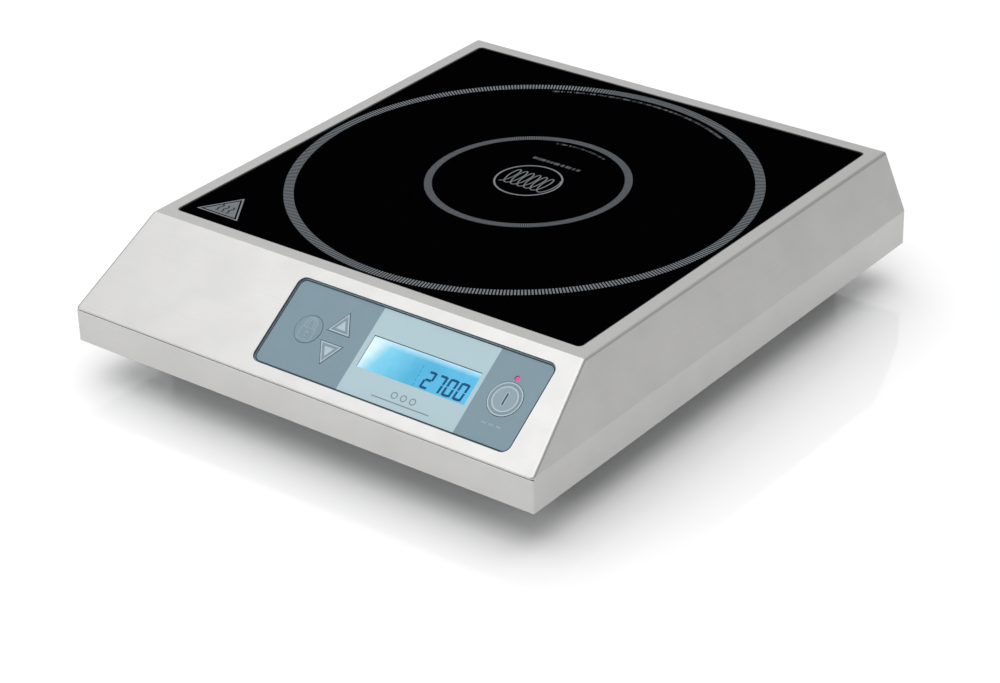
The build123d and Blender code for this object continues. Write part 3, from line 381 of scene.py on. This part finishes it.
# Plate: pan rings, coil symbol, small print and hot-surface sign.
FLAT = (Vector((1, 0, 0)), Vector((0, 1, 0)))
ring_ink = print_ink("ring ink", (0.135, 0.15, 0.165))
pale_ink = print_ink("pale ink", (0.17, 0.18, 0.19))
dim_ink = print_ink("dim ink", (0.09, 0.095, 0.1))
LARGE_RING, SMALL_RING = (0.5, -1.7), (1.1, 1.7)
COIL_TURNS, COIL_STEPS = 6, 40
COIL_LEFT, COIL_PITCH, LOOP_WIDE, LOOP_HIGH = -15.4, 5.0, 3.1, 9.6
WORD_LEFT, WORD_LOW, WORD_HIGH, WORD_SLANT = -18, 28.8, 31.6, 0.2
WAVE_LEFT, WAVE_PITCH, WAVE_LOW, WAVE_RISE = -130.6, 4.2, -138, 0.75


def on_plate(x, y):
    return glass_face + Vector((x * MM, y * MM, 0))


def plate_marks(name, shapes, ink, lift=FILM, at=(0, 0)):
    marks(name, shapes, on_plate(*at), FLAT, ink, paint="glass_ceramic", lift=lift)


plate_marks("large_ring", ticks(141.0, 147.3, LARGE_RING, 455, 0.55), ring_ink)
plate_marks("small_ring", ticks(59.2, 64.0, SMALL_RING, 340, 0.5), ring_ink)
coil_path = []
for step in range(COIL_TURNS * COIL_STEPS + COIL_STEPS // 2 + 1):
    turns = step / COIL_STEPS
    angle = 2 * math.pi * turns
    x = COIL_LEFT + COIL_PITCH * turns + LOOP_WIDE * math.sin(angle)
    coil_path.append((x, -LOOP_HIGH * math.cos(angle)))
plate_marks("coil_symbol", [*ring(20.35, 21.5), *ribbon(coil_path, 0.75)], pale_ink, at=SMALL_RING)
word = []
for at, width in strokes(32):
    left = WORD_LEFT + at
    stroke = box(left, WORD_LOW, left + width + 0.2, WORD_HIGH)
    word.append([(x, y + WORD_SLANT * (x - left)) for x, y in stroke])
small_print = [*arc_strokes(134.6, 2.0, math.radians(119.5), 122)]
small_print += arc_strokes(55.8, 1.8, math.radians(107), 28)
plate_marks("plate_print", [*word, *small_print], dim_ink)
sign = [(-142.2, -141.8), (-109.5, -141.8), (-126.0, -116.5)]
plate_marks("hot_sign", outline(sign, 0.88), pale_ink)
plate_marks("hot_sign_field", [scaled(sign, 0.76)], ring_ink)
waves = []
for k in range(3):
    left = WAVE_LEFT + WAVE_PITCH * k
    wave = [(left + 0.7 * math.sin(0.9 * step), WAVE_LOW + WAVE_RISE * step) for step in range(13)]
    waves += ribbon(wave, 1.2)
plate_marks("hot_sign_waves", waves, print_ink("black ink", (0.01, 0.01, 0.012)), 2 * FILM)

# Keys: arrows, lock and power symbols, each on its own pad.
SLOPING = (PANEL_X, PANEL_Y)
key_ink = print_ink("key ink", (0.42, 0.5, 0.54))
faint_ink = print_ink("faint ink", (0.26, 0.35, 0.4))
grey_ink = print_ink("grey ink", (0.2, 0.25, 0.28))
dark_ink = print_ink("dark ink", (0.05, 0.08, 0.1))
key_face = panel_face + PANEL_OUT * KEY_PROUD


def on_panel(x, y):
    return key_face + PANEL_X * x * MM + PANEL_Y * y * MM


def triangle(radius, up):
    first = math.pi / 2 if up else -math.pi / 2
    return [polar(radius, first + k * 2 * math.pi / 3) for k in range(3)]


for key, (x, y), up in (("key_up", (-48.7, 8.3), True), ("key_down", (-48.7, -8.0), False)):
    arrow = [*outline(triangle(8.6, up), 0.84), triangle(4.0, up)]
    marks(key + "_print", arrow, on_panel(x, y), SLOPING, key_ink, key + "_body", "key_pads")
half_turn = [math.pi * (1 - k / 12) for k in range(13)]
SHACKLE, SHACKLE_FOOT, SHACKLE_MIDDLE = 3.9, 1.0, (0, 3.6)
shackle_arc = [polar(SHACKLE, angle, SHACKLE_MIDDLE) for angle in half_turn]
shackle = [(-SHACKLE, SHACKLE_FOOT), *shackle_arc, (SHACKLE, SHACKLE_FOOT)]
inner_shackle = [(x * 0.52, y * 0.85 + 0.2) for x, y in shackle]
padlock = [*outline(box(-5.2, -7.4, 5.2, 1.0), 0.86), *ribbon(shackle, 0.9), *ribbon(inner_shackle, 0.7)]
padlock += [disc(1.2, (0, -2.6), 24), box(-0.5, -5.2, 0.5, -2.8)]
marks("key_lock_print", padlock, on_panel(-68.6, 0.2), SLOPING, faint_ink, "key_lock_body", "key_pads")
POWER = on_panel(72.6, 0.5)


def power_marks(name, shapes, ink, layer=1):
    """Shapes on the power key, each on its own layer of ink."""
    marks(name, shapes, POWER, SLOPING, ink, "key_power_body", "key_pads", layer * FILM)


power_marks("key_power_ring", [*ring(9.9, 10.7), *ring(7.3, 8.2)], key_ink)
power_marks("key_power_disc", [disc(7.3)], faint_ink)
power_marks("key_power_edge", ring(8.2, 8.6), grey_ink)
power_marks("key_power_bar_edge", [box(-1.1, -4.2, 1.1, 4.2)], key_ink, 2)
power_marks("key_power_bar", [box(-0.6, -3.8, 0.6, 3.8)], dark_ink, 3)

# Display: four seven-segment digits, with a dashed divider to their left.
SEGMENTS = {"2": "abdeg", "7": "abc", "0": "abcdef"}
BAR, DIGIT_LEAN = 1.55, 0.09
DIGITS_AT, DIGIT_PITCH, DIGIT_SIZE = (18.4, -10.1), 7.7, (6.2, 11.6)
WINDOW_MIDDLE, WINDOW_HALF = (12.6, -0.2), (38.3, 10.6)


def digit(figure, x, y):
    """Quads of one seven-segment figure with its lower left corner at x, y."""
    width, height = DIGIT_SIZE
    middle = height / 2
    end = BAR * 0.7
    bars = {
        "a": (end, height - BAR, width - end, height),
        "g": (end, middle - BAR / 2, width - end, middle + BAR / 2),
        "d": (end, 0, width - end, BAR),
        "f": (0, middle + 0.3, BAR, height - 0.4),
        "b": (width - BAR, middle + 0.3, width, height - 0.4),
        "e": (0, 0.4, BAR, middle - 0.3),
        "c": (width - BAR, 0.4, width, middle - 0.3),
    }
    for segment in SEGMENTS[figure]:
        yield [(x + px + DIGIT_LEAN * py, y + py) for px, py in box(*bars[segment])]


digits = []
for place, figure in enumerate("2700"):
    digits += digit(figure, DIGITS_AT[0] + DIGIT_PITCH * place, DIGITS_AT[1])
segment_ink = print_ink("segment ink", (0.003, 0.075, 0.19))
divider_ink = print_ink("divider ink", (0.03, 0.19, 0.34))
# Dark ink for painted shade: the lines along the window and round the film.
shade_line_ink = print_ink("painted shade ink", (0.025, 0.05, 0.06))
marks("display_digits", digits, panel_face, SLOPING, segment_ink, paint="clear_window")
divider = [box(14.2, -10.4 + 2.9 * k, 14.6, -8.6 + 2.9 * k) for k in range(5)]
marks("display_divider", divider, panel_face, SLOPING, divider_ink, paint="clear_window")

# Painted shade: thin dark lines along the window's top and left edges, standing in for the shade along them.
left, right = [WINDOW_MIDDLE[0] + side * WINDOW_HALF[0] for side in (-1, 1)]
bottom, top = [WINDOW_MIDDLE[1] + side * WINDOW_HALF[1] for side in (-1, 1)]
window_shade_lines = [box(left, top - 0.5, right, top), box(left, bottom, left + 0.35, top)]
marks("display_painted_shade", window_shade_lines, panel_face, SLOPING, shade_line_ink, paint="clear_window")

# Painted shade: a dark line round the film, standing in for the shade in the gap between the film and the steel.
FILM_SIDE, FILM_RISE, FILM_CORNER, BORDER = 91.75, 28.75, 4.75, 0.8
border_rings = []
for radius in (FILM_CORNER, FILM_CORNER - BORDER):
    border_ring = []
    for quarter, (side, rise) in enumerate(((1, 1), (-1, 1), (-1, -1), (1, -1))):
        middle = (side * (FILM_SIDE - FILM_CORNER), rise * (FILM_RISE - FILM_CORNER))
        border_ring += [polar(radius, math.pi / 2 * (quarter + k / 8), middle) for k in range(9)]
    border_rings.append(border_ring)
outer, inner = border_rings
border = []
for k in range(len(outer)):
    n = (k + 1) % len(outer)
    border.append([outer[k], outer[n], inner[n], inner[k]])
marks("panel_gap_shade", border, panel_face, SLOPING, shade_line_ink)

# A plain mark of three rings over a line below the display, and dashes below the power key.
plain_mark = []
for x in (7.5, 14, 20.5):
    plain_mark += ring(1.5, 2.2, (x, -19.5), 32)
plain_mark.append(box(-6.5, -24.2, 34.5, -23.5))
marks("panel_mark", plain_mark, panel_face, SLOPING, grey_ink)
dashes = [box(66.5 + 4.9 * k, -16.7, 69.9 + 4.9 * k, -15.6) for k in range(3)]
marks("panel_dashes", dashes, panel_face, SLOPING, faint_ink)


# ---------------------------------------------------------------- studio
FLOOR_REACH = 9.0
WORLD_STRENGTH = 0.52


def studio_floor():
    """White acrylic: bright, smooth and slightly uneven, so that it holds a faint reflection."""
    s = Shader("white acrylic")
    cloud = s.noise(3, 2)
    s.set(Base_Color=s.blend(cloud, (0.94, 0.94, 0.94), (0.96, 0.96, 0.96)))
    s.set(Roughness=s.between(cloud, 0.04, 0.06), Specular_IOR_Level=0.75)
    return s.bump(s.noise(20, 2), 1e-6, 0.2).material


floor_mesh = bpy.data.meshes.new("floor")
floor_corners = [(x, y, 0) for x, y in box(-FLOOR_REACH, -FLOOR_REACH, FLOOR_REACH, FLOOR_REACH)]
floor_mesh.from_pydata(floor_corners, [], [(0, 1, 2, 3)])
floor_mesh.materials.append(studio_floor())
floor = bpy.data.objects.new("floor", floor_mesh)
bpy.context.scene.collection.objects.link(floor)

world = bpy.data.worlds.new("studio")
world.use_nodes = True
background = world.node_tree.nodes["Background"]
background.inputs["Color"].default_value = (1, 1, 1, 1)
background.inputs["Strength"].default_value = WORLD_STRENGTH
bpy.context.scene.world = world
bpy.context.scene.view_settings.view_transform = "Standard"


def softbox(name, place, target, width, power):
    """A square area light, width metres wide and power watts strong, turned to its target."""
    light = bpy.data.lights.new(name, "AREA")
    light.shape = "SQUARE"
    light.size = width
    light.energy = power
    lamp_object = bpy.data.objects.new(name, light)
    lamp_object.location = place
    lamp_object.rotation_euler = (Vector(target) - Vector(place)).to_track_quat("-Z", "Y").to_euler()
    bpy.context.scene.collection.objects.link(lamp_object)


softbox("overhead", (-0.5, -0.2, 3.0), (-0.5, -0.2, 0), 4.9, 106)
softbox("front", (-1.3, -2.4, 0.75), (0, 0, 0.05), 1.4, 12)
softbox("back", (-1.9, 2.4, 1.8), (0, 0, 0.1), 2.6, 7)

# ---------------------------------------------------------------- camera
CAMERA_AT = Vector((0.9458, -1.2186, 0.8375))
CAMERA_AIM = Vector((0.0151, -0.0318, 0.0045))
CAMERA_LENS = 101.24
CAMERA_ROLL = math.radians(-1.64)

camera_data = bpy.data.cameras.new("camera")
camera_data.lens = CAMERA_LENS
camera_data.sensor_width = 36
camera_data.sensor_fit = "HORIZONTAL"
camera = bpy.data.objects.new("camera", camera_data)
camera.location = CAMERA_AT
facing = (CAMERA_AIM - CAMERA_AT).to_track_quat("-Z", "Y")
roll = Matrix.Rotation(CAMERA_ROLL, 4, "Z").to_quaternion()
camera.rotation_euler = (facing @ roll).to_euler()
bpy.context.scene.collection.objects.link(camera)
bpy.context.scene.camera = camera
